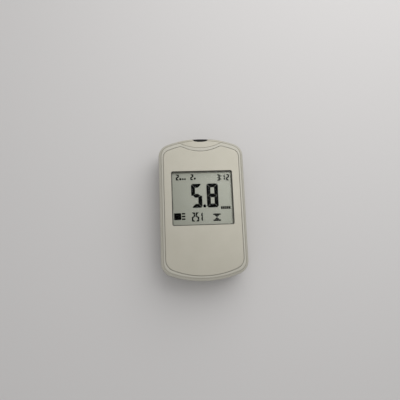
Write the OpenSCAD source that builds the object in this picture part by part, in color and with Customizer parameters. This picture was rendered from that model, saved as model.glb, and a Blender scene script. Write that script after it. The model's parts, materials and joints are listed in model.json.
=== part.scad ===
// Blood glucose meter lying on its back: the display faces +Z and the test strip goes in at the +Y end.
// The origin is the middle of the footprint, on the surface that the feet stand on. Sizes are millimetres.

/* [Body] */
// Width across the straight sides
body_w = 52.8; // [50.8:0.4:64]
// Length from the bottom end to the strip port
body_l = 88; // [85:0.2:106]
// Wall thickness of the two covers
wall = 1.8; // [1.5:0.1:2.2]
// Height of the seam between the two covers
seam_z = 11.5; // [10:0.5:12]
// Radius of the arc across the strip end
top_arc_r = 60; // [50:1:75]
// Radius of the arc across the bottom end
bottom_arc_r = 61; // [45:1:75]
// Corner radius at the strip end
top_corner_r = 8; // [7.5:0.5:10]
// Corner radius at the bottom end
bottom_corner_r = 8.5; // [8:0.5:12]
// How far the sides lean in between the seam and the crease
crease_inset = 0.3; // [0.2:0.05:0.6]

/* [Face] */
// Thickness of the face panel
panel_t = 1.2; // [1:0.1:1.5]
// Groove left open round the face panel
panel_groove = 0.35; // [0.2:0.05:0.5]
// Distance from the sides of the body to the face panel
panel_side = 3.1; // [2.6:0.1:3.5]
// Distance from the strip end of the body to the face panel
panel_top = 4; // [3.5:0.05:4.5]
// Distance from the bottom end of the body to the face panel
panel_end = 3.3; // [2.8:0.05:4]
// Corner radius of the face panel at the strip end
panel_top_corner_r = 4.8; // [4:0.1:6]
// Corner radius of the face panel at the bottom end
panel_bottom_corner_r = 6.8; // [6:0.1:9]
// Radius of the arc across the bottom end of the face panel
panel_bottom_arc_r = 50.5; // [44:0.5:60]
// Radius of the scallop in the top edge of the face panel
scallop_r = 24.6; // [22:0.2:26]
// Radius of the two shoulders beside the scallop
shoulder_r = 3; // [2:0.5:4]
// Plate of the front cover that the face panel lies on
plate_t = 1.2; // [1:0.1:1.5]

/* [Display] */
// Width of the window
window_w = 37.4; // [30:0.2:38]
// Length of the window
window_l = 33.5; // [28:0.5:36]
// Distance of the window's middle from the middle of the body, towards the port
window_y = 6.1; // [4:0.05:7]
// Width of the dark adhesive frame behind the window
frame_w = 0.5; // [0.4:0.1:1.2]
// Thickness of the display glass, both plates together
lcd_t = 1.8; // [1.4:0.1:2.2]
// Height of the display glass above the board
lcd_lift = 1.6; // [1.4:0.1:2.5]

/* [Strip port] */
// Depth of the port cap on the face, measured on the centre line
cap_depth = 6.4; // [5.8:0.1:7]
// Radius of the port cap's lower edge
cap_edge_r = 28.6; // [27:0.2:32]
// Band of the front cover between the port cap and the face panel
port_band = 2.1; // [1.6:0.1:2.6]
// Width of the slot for a test strip
slot_w = 8.2; // [6.5:0.1:9]
// Height of the slot for a test strip
slot_h = 1.2; // [0.8:0.1:1.4]
// Width of the notch in the port cap at its mouth
notch_w = 9.7; // [9.2:0.1:10.5]
// Depth of the notch in the port cap
notch_depth = 2.6; // [2.2:0.1:3]
// Number of contacts in the strip socket
contact_count = 5; // [3:1:5]

/* [Batteries] */
// Diameter of a battery cell
cell_d = 10.5; // [10:0.1:12.6]
// Length of a battery cell with its nub
cell_l = 44.5; // [42:0.1:50.5]
// Clearance round a battery cell
cell_gap = 0.3; // [0.2:0.05:0.5]
// Wire diameter of a battery spring
spring_wire_d = 0.5; // [0.4:0.05:0.55]
// Turns of a battery spring
spring_turns = 3.5; // [3:0.5:3.5]
// Length of a battery spring with a cell in place
spring_l = 4; // [4:0.1:5]
// Outer layer of the battery door
door_skin_t = 0.8; // [0.7:0.1:1]
// Inner layer of the battery door, which runs in the grooves
door_tongue_t = 0.8; // [0.7:0.1:1]

/* [Buttons] */
// Length of the memory button on the right side
memory_l = 10; // [8:0.5:12]
// Width of the memory button
memory_w = 3.4; // [3:0.1:3.6]
// Distance of the memory button from the middle of the body, towards the port
memory_y = 17; // [14:1:19]
// Diameter of the set button on the back
set_d = 4.4; // [3.6:0.2:5]
// Travel of both buttons
press_travel = 0.5; // [0.3:0.1:0.5]

/* [Small parts] */
// Thickness of the circuit board
board_t = 1; // [0.8:0.1:1.6]
// Diameter of a case screw's thread
screw_d = 2; // [1.8:0.1:2.2]
// Diameter of a rubber foot
foot_d = 5; // [4:0.5:5]
// Height of the feet under the body
foot_h = 0.6; // [0.4:0.1:1]
// Diameter of the buzzer
buzzer_d = 12; // [9:0.5:12]

/* [Hidden] */

$fn = 48;
corner_n = 8;                 // steps in an outline's corner
end_n = 14;                   // steps in an outline's end arc
eps = 0.01;
past = 1;                     // how far a cut runs past what it cuts

// Clearances
fit = 0.05;                   // pieces that sit in each other
slide_fit = 0.15;             // pieces that move in each other
board_gap = 0.2;              // air over and under the circuit board
seam_chamfer = 0.15;

// Plan of the body
half_w = body_w / 2;
half_l = body_l / 2;
top_arc_y = half_l - top_arc_r;
bottom_arc_y = bottom_arc_r - half_l;

// Heights, from the table up
rear_z = foot_h;
door_t = door_skin_t + door_tongue_t;
door_top_z = rear_z + door_t;
cell_z = door_top_z + cell_gap + cell_d / 2;
bay_top_z = cell_z + cell_d / 2 + cell_gap;
bay_wall = 1.2;
bay_roof = 1;
board_z = bay_top_z + bay_roof + board_gap;
board_top_z = board_z + board_t;
lcd_z = board_top_z + lcd_lift;
lcd_top_z = lcd_z + lcd_t;
ceiling_z = lcd_top_z + 0.1;
recess_z = ceiling_z + plate_t;
face_z = recess_z + panel_t;
rim_z = face_z - 0.15;
crease_z = face_z - 1.5;

// Seam: a lip on the rear cover stands in a rebate of the front cover
lip_h = 1.2;
lip_outer = wall * 0.58;
rebate_h = lip_h + board_gap;

// Rounded back edge as [inset, height above the back] pairs, from the flat back out to the upright side
back_edge = [[6, 0], [4.2, 0.12], [2.6, 0.55], [1.3, 1.5], [0.5, 3], [0.1, 5], [0, 7]];

// Port
port_y = half_l - cap_depth;
cap_bottom_z = seam_z + rebate_h + 0.6;
slot_z = board_top_z + 1.6;
notch_y = half_l - notch_depth;
notch_floor_w = notch_w - 2.2;
notch_sag = 0.4;              // the notch's floor is this much deeper in the middle
notch_mouth_y = half_l - 0.9;
throat_y = notch_y + notch_sag;
nose_top_z = rim_z - 0.8;
nose_back = 0.2;              // the guide's nose stops short of the cap's end
guide_w = slot_w + 5.8;
guide_z = board_top_z + eps;
guide_top_z = slot_z + slot_h / 2 + 0.8;
guide_y = port_y - 2;
lip_z = slot_z - slot_h / 2;
socket_l = 8.2;
socket_w = slot_w + 4.2;
socket_y = guide_y - fit - socket_l;
socket_top_z = ceiling_z - board_gap;
contact_pitch = 1.5;
contact_w = 0.8;
contact_t = 0.2;

// Battery bay and door
bay_hw = cell_d + 1.5 * cell_gap;
cell_x = (cell_d + cell_gap) / 2;
plate_w = cell_d - 1.5;
contact_plate_t = 0.4;
plate_drop = 0.6;             // from the bay's roof and the door to a contact plate
tab_w = 2;
bay_l = 2 * contact_plate_t + spring_l + cell_l;
bay_y0 = -half_l + 4.6;
bay_y1 = bay_y0 + bay_l;
door_hw = bay_hw + 2.05;
tongue_hw = door_hw + 0.9;
door_y1 = bay_y1 + 2;
latch_hw = bay_hw - 1;
latch_l = 1.4;
wrap_z = rear_z + 7.4;
land_z = door_top_z + slide_fit;
pad_hw = tongue_hw + 2.6;
pad_t = 1.15;
grip_count = 6;
grip_pitch = 1.8;

// Buttons
press_z = board_top_z + 1.4;
memory_face_x = half_w - eps;
memory_flange_t = 0.6;
board_inset = 3.4;
memory_root_x = half_w - board_inset;
memory_stop_x = memory_root_x + memory_flange_t;
switch_d = 1.7;
switch_l = 4.5;
switch_h = 2.8;
free_y = (door_y1 + port_y) / 2;
set_x = -9;
set_y = free_y;
set_recess = 0.3;
set_switch_h = 2;
set_plunger_l = 0.8;
set_flange_t = 0.8;
set_flange_d = set_d + 2;
set_flange_z = rear_z + wall + board_gap;
set_stem_top_z = board_z - set_switch_h - set_plunger_l;
plunger_d = 1.6;

// Screws, bosses and feet
screw_top = [half_w - 7.5, half_l - 10];
screw_bottom = [half_w - 8, -half_l + 12.2];
screw_places = [for (s = [-1, 1]) each [[s * screw_top[0], screw_top[1]], [s * screw_bottom[0], screw_bottom[1]]]];
head_d = screw_d + 1.8;
head_h = 1.3;
head_top_z = rear_z + 4;
boss_d = head_d + 2.6;
front_boss_d = screw_d + 3;
boss_split_z = 8;
screw_tip_z = boss_split_z + 5;
foot_x = (tongue_hw + half_w - back_edge[0][0]) / 2;
foot_places = [for (s = [-1, 1]) each [[s * foot_x, free_y - 3.5], [s * foot_x, bay_y0 + 16]]];
foot_sink = 0.4;

// Buzzer
buzzer_h = 2.6;
buzzer_x = 9;

// Display glass, held by its frame on two conductive rubber strips
lcd_w = window_w + 1;
lcd_l = window_l + 2.6;
ledge = 2.3;
lcd_frame_wall = 0.8;
connector_w = 1.8;
adhesive_t = 0.15;

// ---------------------------------------------------------------- outlines

function arc(c, r, a0, a1, n) =
  [for (i = [0 : n]) let (a = a0 + (a1 - a0) * i / n) [c[0] + r * cos(a), c[1] + r * sin(a)]];

// The same arc without its two end points
function inner_arc(c, r, a0, a1, n) =
  [for (i = [1 : n - 1]) let (a = a0 + (a1 - a0) * i / n) [c[0] + r * cos(a), c[1] + r * sin(a)]];

// Centre of a corner arc of radius r, seen from the centre of the end arc that it runs into
function corner(hw, end_r, r) = [hw - r, sqrt(pow(end_r - r, 2) - pow(hw - r, 2))];

// The point right of the centre line that lies p from [0, a] and q from [0, b]
function reach(a, p, b, q) =
  let (y = (p * p - q * q - a * a + b * b) / (2 * (b - a)))
  [sqrt(p * p - pow(y - a, 2)), y];

// Lower half of a plan: corner, end arc, corner, moved inwards by d
function bottom_end(hw, arc_y, arc_r, r, d) =
  let (c = corner(hw, arc_r, r), a = atan2(c[1], c[0]))
  concat(
    arc([-c[0], arc_y - c[1]], r - d, 180, 180 + a, corner_n),
    inner_arc([0, arc_y], arc_r - d, 180 + a, 360 - a, end_n),
    arc([c[0], arc_y - c[1]], r - d, 360 - a, 360, corner_n)
  );

// Plan of the two covers, moved inwards by d
body_outline = function(d)
  let (c = corner(half_w, top_arc_r, top_corner_r), a = atan2(c[1], c[0]))
  concat(
    arc([c[0], top_arc_y + c[1]], top_corner_r - d, 0, a, corner_n),
    inner_arc([0, top_arc_y], top_arc_r - d, a, 180 - a, end_n),
    arc([-c[0], top_arc_y + c[1]], top_corner_r - d, 180 - a, 180, corner_n),
    bottom_end(half_w, bottom_arc_y, bottom_arc_r, bottom_corner_r, d)
  );

// Plan of the face panel, moved inwards by d: its top edge rises to two shoulders round a scallop
panel_outline = function(d)
  let (
    hw = half_w - panel_side,
    top_r = top_arc_r - panel_top,
    c = corner(hw, top_r, panel_top_corner_r),
    a = atan2(c[1], c[0]),
    scallop_y = port_y - port_band + scallop_r,
    s = reach(top_arc_y, top_r - shoulder_r, scallop_y, scallop_r + shoulder_r),
    rise = atan2(s[1] - top_arc_y, s[0]),
    dip = atan2(scallop_y - s[1], s[0])
  )
  concat(
    arc([c[0], top_arc_y + c[1]], panel_top_corner_r - d, 0, a, corner_n),
    inner_arc([0, top_arc_y], top_r - d, a, rise, 4),
    arc(s, shoulder_r - d, rise, 180 - dip, 4),
    inner_arc([0, scallop_y], scallop_r + d, -dip, dip - 180, end_n),
    arc([-s[0], s[1]], shoulder_r - d, dip, 180 - rise, 4),
    inner_arc([0, top_arc_y], top_r - d, 180 - rise, 180 - a, 4),
    arc([-c[0], top_arc_y + c[1]], panel_top_corner_r - d, 180 - a, 180, corner_n),
    bottom_end(hw, panel_bottom_arc_r + panel_end - half_l, panel_bottom_arc_r, panel_bottom_corner_r, d)
  );

// Plan of the port cap, moved inwards by d: an arc that runs out past the end of the covers
cap_outline = function(d)
  let (edge_y = port_y + cap_edge_r, a = asin((edge_y - half_l - past) / cap_edge_r))
  arc([0, edge_y], cap_edge_r - d, 180 + a, 360 - a, 2 * end_n);

// Plan of the notch, moved inwards by d: its sides narrow to a floor that is deepest in the middle
notch_outline = function(d)
  concat(
    [[-notch_w / 2 + d, half_l + past], [-notch_w / 2 + d, notch_mouth_y]],
    [for (t = [-1 : 1 / 4 : 1]) [t * (notch_floor_w / 2 - d), notch_y + d + notch_sag * t * t]],
    [[notch_w / 2 - d, notch_mouth_y], [notch_w / 2 - d, half_l + past]]
  );

// Rectangle with round corners
function round_rect(w, l, r) =
  [for (k = [0 : 3]) each arc(
    [(w / 2 - r) * (k == 0 || k == 3 ? 1 : -1), (l / 2 - r) * (k < 2 ? 1 : -1)], r, 90 * k, 90 * k + 90, 5)];

// A profile of [inset, height] pairs moved into the solid by t, square to its own direction
function sink_profile(p, t) =
  [for (i = [0 : len(p) - 1])
    let (d = p[min(i + 1, len(p) - 1)] - p[max(i - 1, 0)])
    p[i] + t * [d[1], -d[0]] / norm(d)];

function raised(p, z) = [for (q = p) [q[0], q[1] + z]];

function reversed(p) = [for (i = [len(p) - 1 : -1 : 0]) p[i]];

// A sheet of thickness t bent along a line of points
function ribbon(p, t) =
  let (
    n = len(p),
    way = [for (i = [0 : n - 2]) (p[i + 1] - p[i]) / norm(p[i + 1] - p[i])],
    side = [for (w = way) [-w[1], w[0]]],
    shift = [for (i = [0 : n - 1])
      let (a = side[max(i - 1, 0)], b = side[min(i, n - 2)]) (a + b) * t / 2 / (1 + a * b)]
  )
  concat([for (i = [0 : n - 1]) p[i] + shift[i]], [for (i = [n - 1 : -1 : 0]) p[i] - shift[i]]);

// ---------------------------------------------------------------- solids

// A closed solid over level rings. ring(d) is a plan moved inwards by d, and profile lists [d, height]:
// it starts at a face that looks down, runs along the outside and ends at a face that looks up.
module skin(ring, profile, middle = [0, 0]) {
  n = len(ring(profile[0][0]));
  m = len(profile);
  points = concat(
    [for (p = profile) each [for (q = ring(p[0])) [q[0], q[1], p[1]]]],
    [[middle[0], middle[1], profile[0][1]], [middle[0], middle[1], profile[m - 1][1]]]
  );
  sides = [for (k = [0 : m - 2]) for (i = [0 : n - 1])
    let (a = k * n + i, b = k * n + (i + 1) % n) each [[a, a + n, b + n], [a, b + n, b]]];
  first = [for (i = [0 : n - 1]) [m * n, i, (i + 1) % n]];
  last = [for (i = [0 : n - 1]) [m * n + 1, (m - 1) * n + (i + 1) % n, (m - 1) * n + i]];
  polyhedron(points, concat(sides, first, last));
}

// A round tube through points, with a ring square to the path at each of them
module tube(path, outward, r, sides) {
  n = len(path);
  rings = [for (i = [0 : n - 1]) let (
      t = path[min(i + 1, n - 1)] - path[max(i - 1, 0)],
      w = t / norm(t),
      u = outward[i] - (outward[i] * w) * w,
      a = u / norm(u),
      b = cross(w, a))
    each [for (k = [0 : sides - 1]) path[i] + r * (a * cos(360 * k / sides) + b * sin(360 * k / sides))]];
  walls = [for (i = [0 : n - 2]) for (k = [0 : sides - 1])
    let (p = i * sides + k, q = i * sides + (k + 1) % sides)
    each [[p, p + sides, q + sides], [p, q + sides, q]]];
  start = [for (k = [0 : sides - 1]) [n * sides, k, (k + 1) % sides]];
  stop = [for (k = [0 : sides - 1])
    [n * sides + 1, (n - 1) * sides + (k + 1) % sides, (n - 1) * sides + k]];
  polyhedron(concat(rings, [path[0], path[n - 1]]), concat(walls, start, stop));
}

module box(x0, x1, y0, y1, z0, z1) {
  translate([x0, y0, z0]) cube([x1 - x0, y1 - y0, z1 - z0]);
}

module slab(points, z0, z1) {
  translate([0, 0, z0]) linear_extrude(z1 - z0) polygon(points);
}

module post(p, d, z0, z1) {
  translate([p[0], p[1], z0]) cylinder(d = d, h = z1 - z0);
}

// A bar with round ends, standing on the plane x = 0 and reaching l along X
module pill(length, width, l) {
  rotate([90, 0, 90]) {
    for (s = [-1, 1]) translate([s * (length - width) / 2, 0, 0]) cylinder(d = width, h = l);
    translate([-(length - width) / 2, -width / 2, 0]) cube([length - width, width, l]);
  }
}

// ---------------------------------------------------------------- covers

function side_inset(z) = crease_inset * pow(max(0, z - seam_z) / (crease_z - seam_z), 1.6);

function between(a, b, n) = [for (i = [1 : n]) a + (b - a) * i / n];

rear_profile = concat(
  raised(back_edge, rear_z),
  [[0, seam_z - seam_chamfer], [seam_chamfer, seam_z], [lip_outer + fit, seam_z]],
  [[lip_outer + fit, seam_z + lip_h], [wall, seam_z + lip_h]],
  reversed(raised(sink_profile(back_edge, wall), rear_z))
);

// Outside of the front cover as [inset, height] pairs: the leaning side, then two facets up to the flat rim
side_profile = concat(
  [for (z = between(seam_z + seam_chamfer, crease_z, 5)) [side_inset(z), z]],
  [[crease_inset + 0.12, crease_z + 0.45], [crease_inset + 0.5, crease_z + 0.85]],
  [[crease_inset + 1.4, rim_z - 0.12], [crease_inset + 2.1, rim_z]]
);

front_profile = concat(
  [[wall + crease_inset + 1.4, ceiling_z], [wall + side_inset(ceiling_z - 0.9), ceiling_z - 0.9]],
  [for (z = between(ceiling_z - 0.9, seam_z + rebate_h, 3)) [wall + side_inset(z), z]],
  [[lip_outer, seam_z + rebate_h], [lip_outer, seam_z], [seam_chamfer, seam_z]],
  [[0, seam_z + seam_chamfer]],
  side_profile
);

// What the outside of the front cover encloses, moved inwards by d
module envelope(d) {
  skin(body_outline, [for (p = concat([[0, seam_z]], side_profile)) [p[0] + d, p[1]]]);
}

// The way that the battery door and its end leave open in the back, with its sliding clearance
module door_way() {
  box(-door_hw - slide_fit, door_hw + slide_fit, -half_l - past, door_y1 + slide_fit, -past, land_z);
  box(-tongue_hw - slide_fit, tongue_hw + slide_fit, -half_l - past, door_y1 + slide_fit,
    rear_z + door_skin_t - fit, land_z);
  box(-latch_hw - slide_fit, latch_hw + slide_fit, door_y1 - past, door_y1 + latch_l + slide_fit,
    rear_z + door_skin_t - fit, land_z);
  difference() {
    box(-tongue_hw - slide_fit, tongue_hw + slide_fit, -half_l - past, bay_y0 + 2,
      land_z - eps, wrap_z + slide_fit);
    skin(
      body_outline,
      concat(raised(sink_profile(back_edge, door_t + slide_fit), rear_z), [[door_t + slide_fit, wrap_z + 2]])
    );
  }
}

module battery_bay_walls() {
  outer_hw = bay_hw + bay_wall;
  roof_z = bay_top_z + bay_roof;
  box(-outer_hw, outer_hw, bay_y0 - bay_wall, bay_y1 + bay_wall, land_z, seam_z + lip_h);
  intersection() {
    box(-outer_hw, outer_hw, bay_y0 - bay_wall, bay_y1 + bay_wall, seam_z, roof_z);
    slab(body_outline(wall + side_inset(roof_z) + fit), land_z, roof_z + past);
  }
  box(-pad_hw, pad_hw, bay_y0 + bay_wall, door_y1 + latch_l + 2.2, land_z, land_z + pad_t);
}

module battery_bay_space() {
  box(-bay_hw, bay_hw, bay_y0, bay_y1, -past, bay_top_z);
  for (y = [bay_y0, bay_y1 - contact_plate_t], x = y == bay_y0 ? [-cell_x, cell_x] : [0])
    box(x - tab_w / 2 - fit, x + tab_w / 2 + fit, y, y + contact_plate_t + fit, bay_top_z - past, board_z);
}

module rear_cover() {
  color([0.80, 0.78, 0.72])
  difference() {
    union() {
      skin(body_outline, rear_profile);
      battery_bay_walls();
      for (p = screw_places) post(p, boss_d, rear_z + wall - eps, boss_split_z);
      post([set_x, set_y], set_flange_d + 2.4, rear_z + wall - eps, set_flange_z + set_flange_t + 2.4);
    }
    door_way();
    battery_bay_space();
    for (p = screw_places) {
      post(p, head_d + 0.4, -past, head_top_z);
      post(p, screw_d + 0.3, head_top_z - eps, boss_split_z + past);
    }
    for (p = foot_places) post(p, foot_d + 2 * fit, -past, rear_z + foot_sink);
    post([set_x, set_y], set_d + 2 * slide_fit, -past, set_flange_z);
    post([set_x, set_y], set_flange_d + 2 * slide_fit, rear_z + wall, set_flange_z + set_flange_t + 3);
    for (a = [0 : 60 : 300]) post([buzzer_x + 2.4 * cos(a), free_y + 2.4 * sin(a)], 1, -past, rear_z + wall + past);
    post([buzzer_x, free_y], 1, -past, rear_z + wall + past);
  }
}

module front_cover() {
  window_hole = round_rect(window_w - 2 * frame_w, window_l - 2 * frame_w, 0.6);
  color([0.82, 0.80, 0.74])
  difference() {
    union() {
      skin(body_outline, front_profile);
      for (p = screw_places) {
        post(p, front_boss_d, boss_split_z + fit, ceiling_z + eps);
        post(p, front_boss_d + 1.8, board_top_z + fit, ceiling_z + eps);
      }
    }
    slab(panel_outline(-panel_groove), recess_z, face_z + past);
    slab([for (p = window_hole) [p[0], p[1] + window_y]], ceiling_z - past, face_z);
    slab(cap_outline(-fit), cap_bottom_z, face_z + past);
    translate([half_w - board_inset, memory_y, press_z])
      pill(memory_l + 2 * slide_fit, memory_w + 2 * slide_fit, board_inset + past);
    for (p = screw_places) post(p, screw_d + 2 * fit, boss_split_z - past, screw_tip_z + 0.6);
  }
}

module face_panel() {
  opening = round_rect(window_w + 2 * fit, window_l + 2 * fit, 1.05);
  color([0.80, 0.78, 0.71])
  difference() {
    skin(panel_outline, [[0, recess_z], [0, face_z - 0.45], [0.12, face_z - 0.13], [0.45, face_z]]);
    slab([for (p = opening) [p[0], p[1] + window_y]], recess_z - past, face_z + past);
  }
}

// ---------------------------------------------------------------- display

module window_adhesive() {
  outer = round_rect(window_w, window_l, 1);
  inner = round_rect(window_w - 2 * frame_w, window_l - 2 * frame_w, 0.6);
  color([0.13, 0.13, 0.12])
  translate([0, window_y, 0])
  difference() {
    slab(outer, recess_z, recess_z + adhesive_t);
    slab(inner, recess_z - past, recess_z + past);
  }
}

module display_window() {
  color([0.72, 0.76, 0.74, 0.35])
  translate([0, window_y, 0])
  slab(round_rect(window_w, window_l, 1), recess_z + adhesive_t, face_z - 0.1);
}

module lcd_glass() {
  color([0.60, 0.62, 0.56])
  translate([0, window_y, 0]) {
    box(-lcd_w / 2, lcd_w / 2, -lcd_l / 2, lcd_l / 2, lcd_z + lcd_t / 2, lcd_top_z);
    box(-lcd_w / 2, lcd_w / 2, -lcd_l / 2 + ledge, lcd_l / 2 - ledge, lcd_z, lcd_z + lcd_t / 2);
  }
}

module lcd_frame() {
  w = lcd_w / 2 + fit;
  l = lcd_l / 2 + fit;
  color([0.90, 0.90, 0.88])
  translate([0, window_y, 0])
  difference() {
    box(-w - lcd_frame_wall, w + lcd_frame_wall, -l - lcd_frame_wall, l + lcd_frame_wall, board_top_z, lcd_top_z);
    box(-w, w, -l, l, board_top_z - past, lcd_top_z + past);
  }
}

module lcd_connectors() {
  color([0.35, 0.33, 0.34])
  for (s = [-1, 1])
    translate([0, window_y + s * (lcd_l / 2 - connector_w / 2 - 0.15), 0])
      box(-lcd_w / 2 + 1.5, lcd_w / 2 - 1.5, -connector_w / 2, connector_w / 2, board_top_z, lcd_z + lcd_t / 2);
}

// ---------------------------------------------------------------- strip port

module port_cap() {
  color([0.84, 0.82, 0.76])
  difference() {
    intersection() {
      envelope(0);
      skin(
        cap_outline,
        [[0.3, cap_bottom_z], [0, cap_bottom_z + 0.4], [0, rim_z - 0.4], [0.12, rim_z - 0.15], [0.5, rim_z + 0.1]],
        [0, half_l - cap_depth / 2]
      );
    }
    box(-guide_w / 2 - fit, guide_w / 2 + fit, port_y - past, throat_y, guide_z - fit, guide_top_z + fit);
    slab(notch_outline(0), guide_z - fit, face_z + past);
    box(-slot_w / 2, slot_w / 2, notch_y, half_l + past, lip_z, lip_z + slot_h);
  }
}

// A sleeve behind the cap, with a nose that fills the notch from under the slot to just below the rim
module strip_guide() {
  color([0.10, 0.10, 0.10])
  difference() {
    union() {
      box(-guide_w / 2, guide_w / 2, guide_y, throat_y - fit, guide_z, guide_top_z);
      intersection() {
        envelope(nose_back);
        slab(notch_outline(fit), guide_z, nose_top_z);
      }
    }
    box(-slot_w / 2, slot_w / 2, guide_y - past, half_l + past, lip_z, lip_z + slot_h);
  }
}

contact_xs = [for (i = [0 : contact_count - 1]) (i - (contact_count - 1) / 2) * contact_pitch];

module strip_socket() {
  roof_z = lip_z + slot_h;
  color([0.16, 0.16, 0.17])
  difference() {
    box(-socket_w / 2, socket_w / 2, socket_y, socket_y + socket_l, board_top_z, socket_top_z);
    box(-slot_w / 2, slot_w / 2, socket_y + 1.6, socket_y + socket_l + past, lip_z, roof_z);
    for (x = contact_xs)
      box(x - contact_w / 2 - 0.1, x + contact_w / 2 + 0.1, socket_y - past, socket_y + socket_l - 1,
        roof_z - eps, roof_z + 0.7);
  }
}

// Each contact rises from the board behind the socket, runs in above the slot and dips to touch the strip
module strip_contacts() {
  roof_z = lip_z + slot_h;
  arm_z = roof_z + 0.5;
  line = [
    [socket_y - 1.3, board_top_z + contact_t / 2], [socket_y - 0.5, board_top_z + contact_t / 2],
    [socket_y - 0.5, arm_z], [socket_y + 2.4, arm_z], [socket_y + 5.4, slot_z + 0.35], [socket_y + 6.8, arm_z - 0.1]
  ];
  color([0.83, 0.68, 0.32])
  for (x = contact_xs)
    translate([x - contact_w / 2, 0, 0])
      rotate([90, 0, 90])
        linear_extrude(contact_w) polygon(ribbon(line, contact_t));
}

// ---------------------------------------------------------------- board

module circuit_board() {
  color([0.10, 0.36, 0.20])
  difference() {
    intersection() {
      slab(body_outline(board_inset), board_z, board_top_z);
      box(-half_w, half_w, -half_l, port_y - 0.6, board_z - past, board_top_z + past);
    }
    for (p = screw_places) post(p, front_boss_d + 0.3, board_z - past, board_top_z + past);
  }
}

module chip(w, l, h, leads, pitch) {
  translate([-w / 2, -l / 2, 0.15]) cube([w, l, h]);
  for (s = [-1, 1], i = [0 : leads - 1])
    translate([s * (w / 2 + 0.35) - 0.5, (i - (leads - 1) / 2) * pitch - 0.2, 0]) cube([1, 0.4, 0.5]);
}

module microcontroller() {
  color([0.14, 0.14, 0.15])
  translate([0, window_y - 3, board_top_z]) chip(10, 10, 0.9, 10, 0.9);
}

module measuring_chip() {
  color([0.17, 0.17, 0.18])
  translate([-socket_w / 2 - 4, socket_y + 3, board_top_z]) chip(4, 5, 1.4, 4, 1.1);
}

module crystal() {
  color([0.78, 0.78, 0.76])
  translate([-2, -half_l + 16, board_top_z + 1.1]) rotate([0, 90, 0]) cylinder(d = 2.2, h = 6);
}

module capacitors() {
  color([0.72, 0.58, 0.40])
  for (i = [0 : 3]) translate([6 + 3 * i, -half_l + 22, board_top_z]) cube([1.3, 2.2, 1.2]);
}

module buzzer() {
  color([0.12, 0.12, 0.12])
  difference() {
    post([buzzer_x, free_y], buzzer_d, board_z - buzzer_h, board_z);
    post([buzzer_x, free_y], 2, board_z - buzzer_h - past, board_z - buzzer_h + 0.8);
  }
}

// ---------------------------------------------------------------- buttons

module memory_button() {
  neck = memory_face_x - memory_stop_x + eps;
  color([0.62, 0.61, 0.58])
  translate([0, memory_y, press_z]) {
    translate([memory_stop_x - eps, 0, 0])
      rotate([90, 0, 90])
        skin(
          function(d) round_rect(memory_l - 2 * d, memory_w - 2 * d, memory_w / 2 - d - eps),
          [[0, 0], [0, neck - 0.5], [0.15, neck - 0.15], [0.55, neck]]
        );
    box(memory_root_x, memory_stop_x, -memory_l / 2 - 1.5, memory_l / 2 + 1.5, -1.2, 1.2);
  }
}

module memory_plunger() {
  color([0.20, 0.20, 0.20])
  translate([memory_root_x - 1.4, memory_y, press_z]) rotate([0, 90, 0]) cylinder(d = plunger_d, h = 1.4);
}

module memory_switch() {
  x1 = memory_root_x - press_travel - fit;
  color([0.75, 0.75, 0.73])
  difference() {
    box(x1 - switch_d, x1, memory_y - switch_l / 2, memory_y + switch_l / 2, board_top_z, board_top_z + switch_h);
    translate([x1 - switch_d + 0.25, memory_y, press_z])
      rotate([0, 90, 0]) cylinder(d = plunger_d + 0.1, h = switch_d + past);
  }
}

module set_button() {
  color([0.45, 0.45, 0.44]) {
    post([set_x, set_y], set_d, rear_z + set_recess, set_flange_z + eps);
    post([set_x, set_y], set_flange_d, set_flange_z, set_flange_z + set_flange_t);
    post([set_x, set_y], 2.6, set_flange_z + set_flange_t - eps, set_stem_top_z);
  }
}

module set_plunger() {
  color([0.20, 0.20, 0.20])
  post([set_x, set_y], plunger_d, set_stem_top_z, set_stem_top_z + set_plunger_l + 0.6);
}

module set_switch() {
  color([0.75, 0.75, 0.73])
  difference() {
    box(set_x - 2.25, set_x + 2.25, set_y - 2.25, set_y + 2.25, board_z - set_switch_h, board_z);
    post([set_x, set_y], plunger_d + 0.1, board_z - set_switch_h - past, board_z - 0.3);
  }
}

// ---------------------------------------------------------------- battery door and batteries

module battery_door() {
  shell = concat(
    raised(back_edge, rear_z),
    [[0, wrap_z], [door_t, wrap_z]],
    reversed(raised(sink_profile(back_edge, door_t), rear_z))
  );
  color([0.78, 0.76, 0.70])
  difference() {
    union() {
      intersection() {
        skin(body_outline, shell);
        union() {
          box(-door_hw, door_hw, -half_l - past, door_y1, -past, rear_z + door_skin_t + eps);
          box(-tongue_hw, tongue_hw, -half_l - past, door_y1, rear_z + door_skin_t, wrap_z + past);
        }
      }
      box(-latch_hw, latch_hw, door_y1 - 1, door_y1 + latch_l, rear_z + door_skin_t, door_top_z);
    }
    for (i = [0 : grip_count - 1])
      box(-7, 7, bay_y0 + 6 + i * grip_pitch, bay_y0 + 6.8 + i * grip_pitch, -past, rear_z + 0.3);
  }
}

// A cell along +Y: case, then nub
module cell(x, y, way) {
  nub_l = 0.8;
  translate([x, y, cell_z]) rotate([-90 * way, 0, 0]) {
    cylinder(d = cell_d, h = cell_l - nub_l);
    translate([0, 0, cell_l - nub_l - eps]) cylinder(d = 3.8, h = nub_l + eps);
  }
}

cell_y0 = bay_y0 + contact_plate_t;
cell_y1 = bay_y1 - contact_plate_t;

module battery_left() {
  color([0.25, 0.42, 0.62]) cell(-cell_x, cell_y0 + spring_l, 1);
}

module battery_right() {
  color([0.25, 0.42, 0.62]) cell(cell_x, cell_y1 - spring_l, -1);
}

// Conical spring along +Z: straight out of its plate, round in a narrowing helix, straight into the cell
spring_base_r = 3.7;
spring_tip_r = 1.9;
spring_steps = 8 * spring_turns;
spring_rise = spring_l - 2 * spring_wire_d;

function spring_radius(i) = spring_base_r + (spring_tip_r - spring_base_r) * i / spring_steps;

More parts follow.
